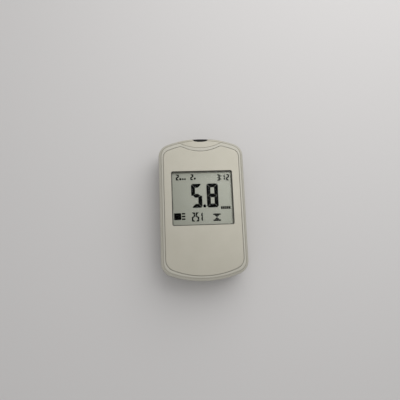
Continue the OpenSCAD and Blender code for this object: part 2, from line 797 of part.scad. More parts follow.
function spring_spot(i) = let (a = 45 * i, r = spring_radius(i))
  [r * cos(a), r * sin(a), spring_wire_d + spring_rise * i / spring_steps];

spring_path = concat(
  [[spring_base_r, 0, 0], [spring_base_r, 0, spring_wire_d * 0.7]],
  [for (i = [0.5 : 1 : spring_steps - 0.5]) spring_spot(i)],
  [[spring_tip_r * cos(45 * spring_steps), spring_tip_r * sin(45 * spring_steps), spring_l - spring_wire_d * 0.7],
    [spring_tip_r * cos(45 * spring_steps), spring_tip_r * sin(45 * spring_steps), spring_l]]
);

spring_outward = [for (p = spring_path) [p[0], p[1], 0]];

spring_gap = min([for (i = [0 : len(spring_path) - 1], j = [0 : len(spring_path) - 1])
  if (j - i > 5) norm(spring_path[i] - spring_path[j])]) - spring_wire_d;
echo(least_gap_between_spring_turns = spring_gap);

module battery_springs() {
  color([0.80, 0.80, 0.78]) {
    translate([-cell_x, cell_y0, cell_z]) rotate([-90, 0, 0])
      tube(spring_path, spring_outward, spring_wire_d / 2, 6);
    translate([cell_x, cell_y1, cell_z]) rotate([90, 0, 0])
      tube(spring_path, spring_outward, spring_wire_d / 2, 6);
  }
}

module contact_plate(x0, x1, y, tab_x) {
  box(x0, x1, y, y + contact_plate_t, door_top_z + plate_drop, bay_top_z - plate_drop);
  box(tab_x - tab_w / 2, tab_x + tab_w / 2, y, y + contact_plate_t, bay_top_z - plate_drop - eps, board_z);
}

module end_contacts() {
  color([0.80, 0.80, 0.78])
  for (s = [-1, 1])
    contact_plate(s * cell_x - plate_w / 2, s * cell_x + plate_w / 2, bay_y0, s * cell_x);
}

module bridge_contact() {
  color([0.80, 0.80, 0.78])
  contact_plate(-cell_x - plate_w / 2, cell_x + plate_w / 2, cell_y1, 0);
}

// ---------------------------------------------------------------- fasteners and feet

module case_screws() {
  color([0.70, 0.70, 0.72])
  for (p = screw_places)
    difference() {
      union() {
        post(p, head_d, head_top_z - head_h, head_top_z);
        post(p, screw_d, head_top_z - eps, screw_tip_z);
      }
      for (a = [0, 90])
        translate([p[0], p[1], head_top_z - head_h - past])
          rotate([0, 0, a]) translate([-head_d * 0.3, -0.25, 0]) cube([head_d * 0.6, 0.5, past + 0.8]);
    }
}

module rubber_feet() {
  color([0.15, 0.15, 0.15])
  for (p = foot_places) {
    post(p, foot_d, 0.3, rear_z + foot_sink);
    translate([p[0], p[1], 0]) cylinder(d1 = foot_d - 0.6, d2 = foot_d, h = 0.3);
  }
}

// ---------------------------------------------------------------- nodes

rear_cover();
front_cover();
face_panel();
display_window();
window_adhesive();
port_cap();
strip_guide();
strip_socket();
strip_contacts();
circuit_board();
lcd_glass();
lcd_frame();
lcd_connectors();
memory_button();
memory_plunger();
memory_switch();
set_button();
set_plunger();
set_switch();
battery_door();
battery_left();
battery_right();
battery_springs();
end_contacts();
bridge_contact();
case_screws();
rubber_feet();
buzzer();
microcontroller();
measuring_chip();
crystal();
capacitors();
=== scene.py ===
# %% [markdown]
# # A blood glucose meter
# The meter is a flat case that lies in the hand: two moulded covers, a face panel with a window over a
# grey segment display, and a cap with a notch where the test strip goes in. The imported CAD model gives
# every piece its size and place. This lesson gives the pieces that show their smooth surfaces and gives
# all of them their finishes. Lengths are written in millimetres, because the drawings of such a case are,
# and are turned into Blender's metres where a mesh is made.

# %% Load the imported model
import json
import math
import bpy
import numpy as np
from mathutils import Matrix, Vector


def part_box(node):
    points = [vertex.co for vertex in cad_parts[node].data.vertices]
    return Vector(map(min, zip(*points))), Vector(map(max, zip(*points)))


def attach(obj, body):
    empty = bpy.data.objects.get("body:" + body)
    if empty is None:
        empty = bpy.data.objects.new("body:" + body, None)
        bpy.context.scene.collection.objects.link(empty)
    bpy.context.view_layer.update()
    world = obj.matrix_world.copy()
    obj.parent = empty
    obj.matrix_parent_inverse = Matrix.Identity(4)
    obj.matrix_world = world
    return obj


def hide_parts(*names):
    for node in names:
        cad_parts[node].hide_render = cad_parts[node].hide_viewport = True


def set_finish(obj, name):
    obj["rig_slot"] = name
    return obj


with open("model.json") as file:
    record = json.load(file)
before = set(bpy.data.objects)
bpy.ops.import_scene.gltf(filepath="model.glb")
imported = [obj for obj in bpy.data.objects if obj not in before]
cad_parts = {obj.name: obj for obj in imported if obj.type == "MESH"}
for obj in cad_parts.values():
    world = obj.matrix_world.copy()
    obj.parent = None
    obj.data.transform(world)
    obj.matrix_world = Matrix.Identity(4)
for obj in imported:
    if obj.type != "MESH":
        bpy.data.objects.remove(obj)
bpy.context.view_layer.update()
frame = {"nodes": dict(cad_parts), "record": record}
nodes = frame["nodes"]
MM, METRE = 0.001, 1000.0


def box(node):
    """The lowest and the highest corner of a CAD node, in millimetres."""
    return np.round(np.array(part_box(node)) / MM, 3)


# %% [markdown]
# ## Plans
# Seen from above, every outline of the case is a chain of arcs that run into each other without a kink.
# It could be drawn as a Bezier curve, but then its offsets, which the draft, the rim and the groove need,
# are only near. An arc stays an arc when it is moved inwards, so a plan here is two arrays: points, and
# for each point the unit step that leads into the shape.

# %% Plans made of arcs
TOUCHING, SHARP = 1e-6, 0.01


def plan(*arcs):
    """Joins arcs into a closed outline. A point is centre + r * (cos a, sin a), and its inward step is
    minus that direction, or plus it on a hollow arc. points + d * inward is the outline moved in by d."""
    points, inward = [], []
    for centre, r, start, stop, steps, hollow in arcs:
        a = np.radians(np.linspace(start, stop, steps + 1))
        out = np.stack([np.cos(a), np.sin(a)], axis=1)
        points.append(np.array(centre) + r * out)
        inward.append(out if hollow else -out)
    points, inward = np.concatenate(points), np.concatenate(inward)
    kept = np.linalg.norm(points - np.roll(points, 1, axis=0), axis=1) > TOUCHING
    return points[kept], inward[kept]


def circle(centre, r, steps=48):
    """A round plan: an arc of a whole turn."""
    return plan((centre, r, 0, 360, steps, False))


def rounded_polygon(corners, radius, steps):
    """A polygon with an arc of the given radius in every corner. Where the sides turn left the arc's centre
    lies inside, at corner + r * (n0 + n1) / (1 + n0 . n1), with n0 and n1 the inward normals of the two
    sides, and where they turn right it lies as far outside."""
    c = np.array(corners, float)
    ahead = np.roll(c, -1, axis=0) - c
    ahead /= np.linalg.norm(ahead, axis=1, keepdims=True)
    behind = np.roll(ahead, 1, axis=0)
    n0, n1 = (np.stack([-e[:, 1], e[:, 0]], axis=1) for e in (behind, ahead))
    turn = np.arctan2(behind[:, 0] * ahead[:, 1] - behind[:, 1] * ahead[:, 0], (behind * ahead).sum(1))
    side = np.sign(turn)[:, None]
    r = np.broadcast_to(np.asarray(radius, float), len(c))[:, None]
    centre = c + side * r * (n0 + n1) / (1 + (n0 * n1).sum(1, keepdims=True))
    a = turn[:, None] * np.linspace(0, 1, steps + 1)
    n = np.stack([n0[:, :1] * np.cos(a) - n0[:, 1:] * np.sin(a),
                  n0[:, :1] * np.sin(a) + n0[:, 1:] * np.cos(a)], axis=2)
    points = centre[:, None] - (side * r)[:, None] * n
    return points.reshape(-1, 2), n.reshape(-1, 2)


def rectangle(x0, x1, y0, y1, r, steps=6):
    """A rectangle with round corners."""
    return rounded_polygon([(x0, y0), (x1, y0), (x1, y1), (x0, y1)], r, steps)


HALF_W, HALF_L, RIM = box("front_cover")[1]
TOP_R, BOTTOM_R = 60.0, 61.0
TOP_CORNER_R, BOTTOM_CORNER_R = 8, 8.5
CORNER_STEPS, END_STEPS = 20, 48
TOP_Y = HALF_L - TOP_R


def corner(half_width, end_r, r):
    """Centre of a corner arc that touches the side and runs into the end arc, from the end arc's centre,
    and the angle at which the two arcs meet."""
    c = np.array([half_width - r, math.sqrt((end_r - r) ** 2 - (half_width - r) ** 2)])
    return c, math.degrees(math.atan2(c[1], c[0]))


def bottom_end(half_width, end_y, end_r, r):
    """The three arcs of a bottom end that reaches down to end_y: corner, end, corner."""
    c, a = corner(half_width, end_r, r)
    y = end_y + end_r
    return [((-c[0], y - c[1]), r, 180, 180 + a, CORNER_STEPS, False),
            ((0, y), end_r, 180 + a, 360 - a, END_STEPS, False),
            ((c[0], y - c[1]), r, 360 - a, 360, CORNER_STEPS, False)]


c, a = corner(HALF_W, TOP_R, TOP_CORNER_R)
body_plan = plan(((c[0], TOP_Y + c[1]), TOP_CORNER_R, 0, a, CORNER_STEPS, False),
                 ((0, TOP_Y), TOP_R, a, 180 - a, END_STEPS, False),
                 ((-c[0], TOP_Y + c[1]), TOP_CORNER_R, 180 - a, 180, CORNER_STEPS, False),
                 *bottom_end(HALF_W, -HALF_L, BOTTOM_R, BOTTOM_CORNER_R))
print("body plan:", len(body_plan[0]), "points,", np.ptp(body_plan[0], axis=0).round(2), "mm")

# %% [markdown]
# ## Surfaces
# A moulded case is a profile carried round its plan: the draft of the sides, the rounded edge and the rim
# have the same cross-section all the way round. A bevelled extrusion would give one kind of edge only, so
# the cross-section is drawn as its own line of inset and height.

# %% Profiles carried round a plan
MOST = 0.45


def carry(outline, profile):
    """The surface P(k, i) = (point_i + inset_k * inward_i, height_k), for all levels k of the profile and
    all places i of the plan at once, as an array [level, place, xyz] in millimetres."""
    points, inward = outline
    inset, height = np.asarray(profile, float).T[:, :, None, None]
    flat = points + inset * inward
    return np.concatenate([flat, np.broadcast_to(height, flat.shape[:2] + (1,))], axis=2)


def rounded(line, radius, steps=4):
    """A profile whose inner corners become arcs of the given radius: rounded_polygon's own rule, for an
    open line. An arc is made smaller where it would take more than MOST of its shorter side."""
    c = np.array(line, float)
    r = np.broadcast_to(np.asarray(radius, float), len(c) - 2)
    e = np.diff(c, axis=0)
    size = np.linalg.norm(e, axis=1)
    e = e / size[:, None]
    a, b = e[:-1], e[1:]
    turn = np.arctan2(a[:, 0] * b[:, 1] - a[:, 1] * b[:, 0], (a * b).sum(1))
    reach = np.minimum(r * np.abs(np.tan(turn / 2)), np.minimum(size[:-1], size[1:]) * MOST)
    r = reach / np.maximum(np.abs(np.tan(turn / 2)), 1e-9)
    start = c[1:-1] - a * reach[:, None]
    normal = np.stack([-a[:, 1], a[:, 0]], axis=1) * (np.sign(turn) * r)[:, None]
    t = turn[:, None] * np.linspace(0, 1, steps + 1)
    spin = np.stack([-normal[:, :1] * np.cos(t) + normal[:, 1:] * np.sin(t),
                     -normal[:, :1] * np.sin(t) - normal[:, 1:] * np.cos(t)], axis=2)
    arcs = (start + normal)[:, None] + spin
    return np.concatenate([c[:1], arcs.reshape(-1, 2), c[-1:]])


def smooth(points, steps):
    """A Catmull-Rom line through the points: between two of them it is the cubic whose slope at each is
    half of the way from the point before to the point after."""
    p = np.array(points, float)
    p = np.concatenate([2 * p[:1] - p[1:2], p, 2 * p[-1:] - p[-2:-1]])
    t = np.linspace(0, 1, steps, endpoint=False)[None, :, None]
    a, b, c, d = (p[i:len(p) - 3 + i, None] for i in range(4))
    q = (b + t * (c - a) / 2 + t ** 2 * (a - 2.5 * b + 2 * c - d / 2)
         + t ** 3 * (-a / 2 + 1.5 * b - 1.5 * c + d / 2))
    return np.concatenate([q.reshape(-1, 2), p[-2:-1]])


def solid(name, grid, turn=None):
    """A closed mesh over a grid: a quad between neighbours, the last place joined to the first, and a flat
    face over the first and the last level. turn moves the axes round, as (2, 0, 1) for a piece that lies
    along X."""
    levels, places = grid.shape[:2]
    points = grid.reshape(-1, 3)[:, list(turn or (0, 1, 2))] * MM
    k, i = np.mgrid[0:levels - 1, 0:places]
    j = (i + 1) % places
    quads = np.stack([k * places + i, k * places + j, (k + 1) * places + j, (k + 1) * places + i], axis=2)
    ends = [list(range(places))[::-1], list(range((levels - 1) * places, levels * places))]
    mesh = bpy.data.meshes.new(name)
    mesh.from_pydata(points.tolist(), [], quads.reshape(-1, 4).tolist() + ends)
    piece = bpy.data.objects.new(name, mesh)
    bpy.context.scene.collection.objects.link(piece)
    return piece


def block(x0, x1, y0, y1, z0, z1):
    """A plain box: a rectangle carried straight up."""
    return solid("tool", carry(rectangle(x0, x1, y0, y1, SHARP, 1), [(0, z0), (0, z1)]))


def post(centre, d, z0, z1, steps=48):
    """A round bar along Z."""
    return solid("tool", carry(circle(centre, d / 2, steps), [(0, z0), (0, z1)]))


# %% [markdown]
# Holes, pockets and bosses are whole solids that are taken away or added, as a mould's pins and pockets
# are. They could be modelled into the faces by hand, but a Boolean modifier keeps the surface around them
# exactly as it was. A sharp moulded edge doesn't exist, so a narrow Bevel catches the light on it, and
# weighted normals keep the flat faces flat beside it.

# %% Adding, cutting and finishing
def freeze(piece):
    """The piece's mesh becomes what its modifiers make of it."""
    rough = piece.data
    graph = bpy.context.evaluated_depsgraph_get()
    piece.data = bpy.data.meshes.new_from_object(piece.evaluated_get(graph))
    piece.modifiers.clear()
    bpy.data.meshes.remove(rough)


def carve(piece, add=(), keep=(), cut=()):
    """The piece with all of add, then only what lies in keep, then without all of cut. The tools are used
    up."""
    for operation, tools in (("UNION", add), ("INTERSECT", keep), ("DIFFERENCE", cut)):
        for tool in tools:
            step = piece.modifiers.new("step", "BOOLEAN")
            step.operation, step.solver, step.object = operation, "MANIFOLD", tool
    freeze(piece)
    for tool in (*add, *keep, *cut):
        bpy.data.objects.remove(tool)
    return piece


def done(piece, name, body, slot, *replaced, edge=0.0, sharp=32):
    """Names the piece, softens its edges by edge mm, shades it smooth with the edges over sharp degrees
    kept, hangs it on its body and hides the CAD nodes that it replaces."""
    piece.name = piece.data.name = name
    if edge:
        bevel = piece.modifiers.new("edge", "BEVEL")
        bevel.width, bevel.segments, bevel.limit_method = edge * MM, 2, "ANGLE"
        bevel.angle_limit = math.radians(sharp)
        bevel.miter_outer = "MITER_ARC"
        freeze(piece)
    piece.data.shade_smooth()
    piece.data.set_sharp_from_angle(angle=math.radians(sharp))
    piece.modifiers.new("normals", "WEIGHTED_NORMAL").keep_sharp = True
    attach(piece, body)
    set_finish(piece, slot)
    if replaced:
        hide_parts(*replaced)
    low, high = (np.array(piece.bound_box)[i] / MM for i in (0, 6))
    print(f"{name}: {len(piece.data.polygons)} faces, {low.round(2)} to {high.round(2)} mm")


# %% [markdown]
# ## Front cover
# The front cover is a frame. Its sides lean in a little, as a moulded part must to leave its mould, and
# two facets lead over the edge to the flat rim. Where two facets meet, a fine V is cut into the corner,
# and these two dark lines run round the case. A plain corner would be simpler, but it shows no line in
# soft light.

# %% Front cover
RECESS, FACE = box("face_panel")[:, 2]
SEAM, CREASE, CEILING = 11.5, 19.9, 19.0
WALL, LEAN = 1.8, 0.3
LIP, LIP_TOP, REBATE_TOP = 0.58 * WALL, SEAM + 1.2, 12.9
SEAM_ROUND = 0.15
# Between pieces that sit in each other, and between pieces that slide
FIT, SLIDE_FIT = 0.05, 0.15
# Where the tools end that cut out through the front and through the back
ABOVE, BELOW = RIM + 1.15, -1


def lean(z):
    """How far the side leans in at height z: a power of the height above the seam."""
    return LEAN * (np.maximum(0, np.asarray(z, float) - SEAM) / (CREASE - SEAM)) ** 1.6


def side(z0, z1, steps, inset=0.0):
    """The side's line from z0 to z1, moved in by inset."""
    z = np.linspace(z0, z1, steps + 1)
    return np.stack([inset + lean(z), z], axis=1).tolist()


# From the crease over two facets, each followed by its V, to the flat rim
rim_line = rounded([(LEAN - 0.02, CREASE - 0.3), (LEAN, CREASE), (0.42, 20.35), (0.68, 20.62),
                    (0.88, 20.55), (1.0, 20.83), (1.48, 21.03), (1.72, 20.72), (1.94, 21.17), (2.4, RIM),
                    (3.0, RIM)], [1.5, 0.9, 0.05, 0.04, 0.05, 0.05, 0.04, 0.05, 0.3], 3).tolist()
outside = side(SEAM + 0.5, CREASE - 0.6, 10) + rim_line


def envelope(inset=0.0):
    """What the outside of the front cover encloses, moved in by inset."""
    return solid("tool", carry(body_plan, np.array([(0, SEAM)] + outside) + [inset, 0]))


front_profile = np.array(
    [(WALL + 1.7, CEILING)] + side(CEILING - 0.9, REBATE_TOP, 5, WALL)
    + [(LIP, REBATE_TOP), (LIP, SEAM), (SEAM_ROUND, SEAM), (0.04, SEAM + 0.04), (0, SEAM + SEAM_ROUND)]
    + outside)
print("front cover's profile:", len(front_profile), "points")

# %% Plans of the window, the panel and the cap
WINDOW = box("display_window")
WINDOW_W, WINDOW_L = (WINDOW[1] - WINDOW[0])[:2]
WINDOW_Y, WINDOW_R = WINDOW[:, 1].mean(), 1.0


def window_plan(grow, r, steps=6):
    """The window's rectangle, larger all round by grow."""
    x, y = WINDOW_W / 2 + grow, WINDOW_L / 2 + grow
    return rectangle(-x, x, WINDOW_Y - y, WINDOW_Y + y, r, steps)


# The face panel has shoulders on both sides of a scallop that follows the port cap
PORT_Y = box("port_cap")[0, 1]
PANEL_SIDE, PANEL_TOP, PANEL_END = 3.1, 4.0, 3.3
PANEL_TOP_CORNER_R, PANEL_BOTTOM_CORNER_R, PANEL_BOTTOM_R = 4.8, 6.8, 50.5
SHOULDER_R, SCALLOP_R, PORT_BAND = 3.0, 24.6, 2.1
hw, top_r = HALF_W - PANEL_SIDE, TOP_R - PANEL_TOP
c, a = corner(hw, top_r, PANEL_TOP_CORNER_R)
scallop_y = PORT_Y - PORT_BAND + SCALLOP_R
p, q, up = top_r - SHOULDER_R, SCALLOP_R + SHOULDER_R, scallop_y - TOP_Y
shoulder_y = TOP_Y + (p * p - q * q + up * up) / (2 * up)
shoulder_x = math.sqrt(p * p - (shoulder_y - TOP_Y) ** 2)
rise = math.degrees(math.atan2(shoulder_y - TOP_Y, shoulder_x))
dip = math.degrees(math.atan2(scallop_y - shoulder_y, shoulder_x))
panel_plan = plan(((c[0], TOP_Y + c[1]), PANEL_TOP_CORNER_R, 0, a, 16, False),
                  ((0, TOP_Y), top_r, a, rise, 8, False),
                  ((shoulder_x, shoulder_y), SHOULDER_R, rise, 180 - dip, 10, False),
                  ((0, scallop_y), SCALLOP_R, -dip, dip - 180, 40, True),
                  ((-shoulder_x, shoulder_y), SHOULDER_R, dip, 180 - rise, 10, False),
                  ((0, TOP_Y), top_r, 180 - rise, 180 - a, 8, False),
                  ((-c[0], TOP_Y + c[1]), PANEL_TOP_CORNER_R, 180 - a, 180, 16, False),
                  *bottom_end(hw, PANEL_END - HALF_L, PANEL_BOTTOM_R, PANEL_BOTTOM_CORNER_R))

# The port cap is an arc that runs out past the end of the case
CAP_R, CAP_BOTTOM = 28.6, box("port_cap")[0, 2]
a = math.degrees(math.asin((PORT_Y + CAP_R - HALF_L - 1) / CAP_R))
cap_plan = plan(((0, PORT_Y + CAP_R), CAP_R, 180 + a, 360 - a, 72, False))
print("panel plan:", len(panel_plan[0]), "points; cap plan:", len(cap_plan[0]), "points")

# %% Front cover's bosses and openings
MEMORY_Y, PRESS_Z = box("memory_button").mean(axis=0)[1:]
MEMORY_ROOT, MEMORY_FACE = box("memory_button")[:, 0]
MEMORY_L, MEMORY_W = 10.0, 3.4
BOSS_R, BOSS_STEP, BOSS_SPLIT, BOARD_OVER = 3.4, 0.9, 8.05, 15.55
PILOT_D, PILOT_Z = 2.1, (7.0, 13.6)
GROOVE, WINDOW_LEDGE = 0.2, 0.5


def memory_pill(grow=0.0):
    """The memory button's outline in the YZ plane, larger all round by grow."""
    l, w = MEMORY_L / 2 + grow, MEMORY_W / 2 + grow
    return rectangle(MEMORY_Y - l, MEMORY_Y + l, PRESS_Z - w, PRESS_Z + w, w - SHARP, 12)


# From the sides and the ends: the screws at the top stand further apart
screw_rows = (HALF_W - 7.5, HALF_L - 10), (HALF_W - 8, 12.2 - HALF_L)
screws = [(s * x, y) for x, y in screw_rows for s in (-1, 1)]
boss_line = [(BOSS_STEP, BOSS_SPLIT), (BOSS_STEP, BOARD_OVER), (0, BOARD_OVER), (0, CEILING + 0.01)]
bosses = [solid("tool", carry(circle(s, BOSS_R), boss_line)) for s in screws]
cuts = [solid("tool", carry(panel_plan, [(-GROOVE, RECESS), (-GROOVE, ABOVE)])),
        solid("tool", carry(window_plan(-WINDOW_LEDGE, 0.6), [(0, CEILING - 1), (0, ABOVE)])),
        solid("tool", carry(cap_plan, [(-FIT, CAP_BOTTOM), (-FIT, ABOVE)])),
        solid("tool", carry(memory_pill(SLIDE_FIT), [(0, MEMORY_ROOT), (0, HALF_W + 1)]), (2, 0, 1))]
cuts += [post(s, PILOT_D, *PILOT_Z, 24) for s in screws]
front_cover = carve(solid("tool", carry(body_plan, front_profile)), bosses, cut=cuts)
done(front_cover, "front_cover_shell", "housing", "case_plastic", "front_cover", edge=0.07)

# %% [markdown]
# ## Face panel
# The panel is a separate plate, so that its finish can differ from the frame's. Its edge is a small round
# that stands a little over the rim. The window's opening goes right through it.

# %% Face panel
PANEL_ROUND = 0.34
panel_profile = rounded([(0, RECESS), (0, FACE), (1.2, FACE)], PANEL_ROUND, 6)
face_panel = carve(solid("tool", carry(panel_plan, panel_profile)),
                   cut=[solid("tool", carry(window_plan(FIT, WINDOW_R + FIT), [(0, CEILING), (0, ABOVE)]))])
done(face_panel, "face_panel_plate", "housing", "panel_plastic", "face_panel", edge=0.1)

# %% [markdown]
# ## Port cap and strip guide
# The cap fills a bite in the frame and carries the case's outside on without a step, so it is its own
# plan with a rounded edge, kept only where the case's envelope is. The notch is cut through it. The dark
# guide behind has a nose that fills the notch to just below the rim, with the slot for the strip in its
# end.

# %% Port cap and strip guide
NOTCH_Y, SAG = HALF_L - 2.6, 0.4
FLOOR_HALF, MOUTH_HALF, MOUTH_Y = 3.75, 4.85, HALF_L - 0.9
SLOT_HALF, SLOT_Z = 4.1, (16.5, 17.7)
(_, GUIDE_Y, GUIDE_Z), (GUIDE_HALF, _, NOSE_Z) = box("strip_guide")
GUIDE_TOP, NOSE_BACK = 18.5, 0.2
OUT = HALF_L + 2


def notch(inset):
    """The notch's plan, moved in by inset: along the floor y = NOTCH_Y + SAG * t ** 2, with t from -1
    to 1."""
    t = np.linspace(-1, 1, 9)
    floor_line = np.stack([t * (FLOOR_HALF - inset), NOTCH_Y + inset + SAG * t ** 2], axis=1)
    mouth = MOUTH_HALF - inset
    line = [(-mouth, OUT), (-mouth, MOUTH_Y), *floor_line, (mouth, MOUTH_Y), (mouth, OUT)]
    return rounded_polygon(line, [SHARP, 0.3, 0.3] + [SHARP] * 7 + [0.3, 0.3, SHARP], 5)


def slot():
    """The slot for the strip, right through the guide and the sides of the notch."""
    return block(-SLOT_HALF, SLOT_HALF, PORT_Y - 3, OUT, *SLOT_Z)


throat_y = NOTCH_Y + SAG
cap_profile = [(0.3, CAP_BOTTOM), (0, CAP_BOTTOM + 0.4), (0, 20.9), (0.03, 21.04), (0.11, 21.16),
               (0.22, 21.22), (0.5, RIM + 0.1)]
tunnel = block(-GUIDE_HALF - FIT, GUIDE_HALF + FIT, PORT_Y - 1, throat_y, GUIDE_Z - FIT, GUIDE_TOP + FIT)
port_cap = carve(solid("tool", carry(cap_plan, cap_profile)), keep=[envelope()],
                 cut=[tunnel, solid("tool", carry(notch(0), [(0, GUIDE_Z - FIT), (0, ABOVE)])), slot()])
done(port_cap, "port_cap_lens", "housing", "panel_plastic", "port_cap", edge=0.08)

nose = carve(solid("tool", carry(notch(FIT), [(0, GUIDE_Z), (0, NOSE_Z)])), keep=[envelope(NOSE_BACK)])
guide = carve(block(-GUIDE_HALF, GUIDE_HALF, GUIDE_Y, throat_y - FIT, GUIDE_Z, GUIDE_TOP), add=[nose],
              cut=[slot()])
done(guide, "strip_guide_nose", "housing", "black_plastic", "strip_guide", edge=0.12)

# %% [markdown]
# ## Rear cover
# The rear cover is the same kind of shell, open at the top, with a lip that stands in a rebate of the
# front cover. Its back edge is one soft curve, which the hand feels, so it is drawn as a smooth line
# through the points of the CAD profile. The battery bay, the screw bosses and the button's guide grow on
# its inside.

# %% Back edge and places on the back
REAR, LAND, BAY_TOP = box("rear_cover")[0, 2], 2.35, 13.3
back_edge = np.array([(6, 0), (4.2, 0.12), (2.6, 0.55), (1.3, 1.5), (0.5, 3), (0.1, 5), (0, 7)])


def sunk(line, t):
    """The line moved into the solid by t: each point goes along the normal of its two neighbours' chord."""
    i = np.arange(len(line))
    d = line[np.minimum(i + 1, i[-1])] - line[np.maximum(i - 1, 0)]
    return line + t * np.stack([d[:, 1], -d[:, 0]], axis=1) / np.linalg.norm(d, axis=1, keepdims=True)


def inner_edge(t):
    """The back edge, a wall of t further in, as a smooth line."""
    return smooth(sunk(back_edge, t), 3) + [0, REAR]


outer_back = smooth(back_edge, 4) + [0, REAR]
DOOR_T, DOOR_HW, TONGUE_HW, DOOR_TOP, WRAP_Z = 1.6, 13.0, 13.9, 2.2, 8.0
LATCH_HW, LATCH_L, TONGUE_Z = 9.95, 1.4, 1.4
BAY_W, BAY_WALL, BAY_ROOF = 10.95, 1.2, 1.0
BAY_Y0, BAY_Y1 = box("end_contacts")[0, 1], box("bridge_contact")[1, 1]
CELL_X, _, CELL_Z = box("battery_right").mean(axis=0)
DOOR_Y1 = BAY_Y1 + 2
FREE_Y, SET_X, BUZZER_X = (DOOR_Y1 + PORT_Y) / 2, -9.0, 9.0
FOOT_X = (TONGUE_HW + HALF_W - back_edge[0, 0]) / 2
feet = [(s * FOOT_X, y) for y in (FREE_Y - 3.5, BAY_Y0 + 16) for s in (-1, 1)]
print("battery bay from y =", BAY_Y0, "to", BAY_Y1, "mm; feet at", np.round(feet, 2).tolist())

# %% Rear cover
PAD_HW, PAD_TOP = TONGUE_HW + 2.6, 3.5
INSIDE_Z = REAR + WALL - 0.01
SET_BOSS_D, SET_HOLE_D, SET_BORE_D, FOOT_HOLE_D = 8.8, 4.7, 6.7, 5.1
HEAD_HOLE_D, SHANK_HOLE_D, SCREW_BOSS_D, HEAD_TOP = 4.2, 2.3, 6.4, 4.6
SET_BOSS_TOP, SET_BORE_Z, SCREW_BOSS_TOP = 5.8, (2.4, 6.4), 8.0
SOUND_D, SOUND_RING = 1.0, 2.4
# The slots for the tabs of the contact plates, and the plates' thickness
TAB_HALF, TAB_T, TAB_Z, PLATE_T = 1.05, 0.45, (12.3, 15.0), 0.4


def door_way():
    """The tools that leave the battery door and its wrapped end open: two plates, one for the latch, and
    the end's own shell, which is the back edge moved in by the door's thickness."""
    t = DOOR_T + SLIDE_FIT
    shell = solid("tool", carry(body_plan, np.concatenate([inner_edge(t), [(t, 10.0)]])))
    out, shut, z0 = -HALF_L - 1, DOOR_Y1 + SLIDE_FIT, TONGUE_Z - FIT
    wide, narrow, latch = TONGUE_HW + SLIDE_FIT, DOOR_HW + SLIDE_FIT, LATCH_HW + SLIDE_FIT
    end = carve(block(-wide, wide, out, BAY_Y0 + 2, LAND - 0.01, WRAP_Z + SLIDE_FIT), cut=[shell])
    return [block(-narrow, narrow, out, shut, BELOW, LAND), block(-wide, wide, out, shut, z0, LAND),
            block(-latch, latch, DOOR_Y1 - 1, shut + LATCH_L, z0, LAND), end]


def bay_block(z0, z1):
    """The battery bay with its walls, from z0 to z1."""
    x = BAY_W + BAY_WALL
    return block(-x, x, BAY_Y0 - BAY_WALL, BAY_Y1 + BAY_WALL, z0, z1)


lip_line = [(0, SEAM - SEAM_ROUND), (0.04, SEAM - 0.04), (SEAM_ROUND, SEAM), (LIP + FIT, SEAM),
            (LIP + FIT, LIP_TOP), (WALL, LIP_TOP)]
rear_profile = np.concatenate([outer_back, lip_line, inner_edge(WALL)[::-1]])
roof_z = BAY_TOP + BAY_ROOF
roof_inset = WALL + lean(roof_z) + FIT
under_front = solid("tool", carry(body_plan, [(roof_inset, 10), (roof_inset, 16)]))
rear_add = [bay_block(LAND, LIP_TOP), carve(bay_block(SEAM, roof_z), keep=[under_front]),
            block(-PAD_HW, PAD_HW, BAY_Y0 + BAY_WALL, DOOR_Y1 + 3.6, LAND, PAD_TOP),
            post((SET_X, FREE_Y), SET_BOSS_D, INSIDE_Z, SET_BOSS_TOP)]
rear_add += [post(s, SCREW_BOSS_D, INSIDE_Z, SCREW_BOSS_TOP) for s in screws]
rear_cut = door_way() + [block(-BAY_W, BAY_W, BAY_Y0, BAY_Y1, BELOW, BAY_TOP)]
rear_cut += [block(x - TAB_HALF, x + TAB_HALF, y, y + TAB_T, *TAB_Z)
             for x, y in ((-CELL_X, BAY_Y0), (CELL_X, BAY_Y0), (0, BAY_Y1 - PLATE_T))]
rear_cut += [post(s, HEAD_HOLE_D, BELOW, HEAD_TOP) for s in screws]
rear_cut += [post(s, SHANK_HOLE_D, HEAD_TOP - 0.1, SCREW_BOSS_TOP + 1, 24) for s in screws]
rear_cut += [post(f, FOOT_HOLE_D, BELOW, 1.0) for f in feet]
rear_cut += [post((SET_X, FREE_Y), SET_HOLE_D, BELOW, SET_BORE_Z[0] + 0.2),
             post((SET_X, FREE_Y), SET_BORE_D, *SET_BORE_Z)]
sound = [(BUZZER_X + r * math.cos(a), FREE_Y + r * math.sin(a))
         for r, a in [(0, 0)] + [(SOUND_RING, math.radians(k)) for k in range(0, 360, 60)]]
rear_cut += [post(h, SOUND_D, BELOW, 3.4, 20) for h in sound]
rear_cover = carve(solid("tool", carry(body_plan, rear_profile)), rear_add, cut=rear_cut)
done(rear_cover, "rear_cover_shell", "housing", "case_plastic", "rear_cover", edge=0.09)

# %% [markdown]
# ## Battery door
# The door is the piece of the rear cover's own surface that slides away: the same plan and the same back
# edge, cut out by upright planes, with a tongue on each side that runs in the cover's grooves. Its grip
# is a row of grooves. They are cut with round-ended bars, as a ball cutter leaves them in the mould.

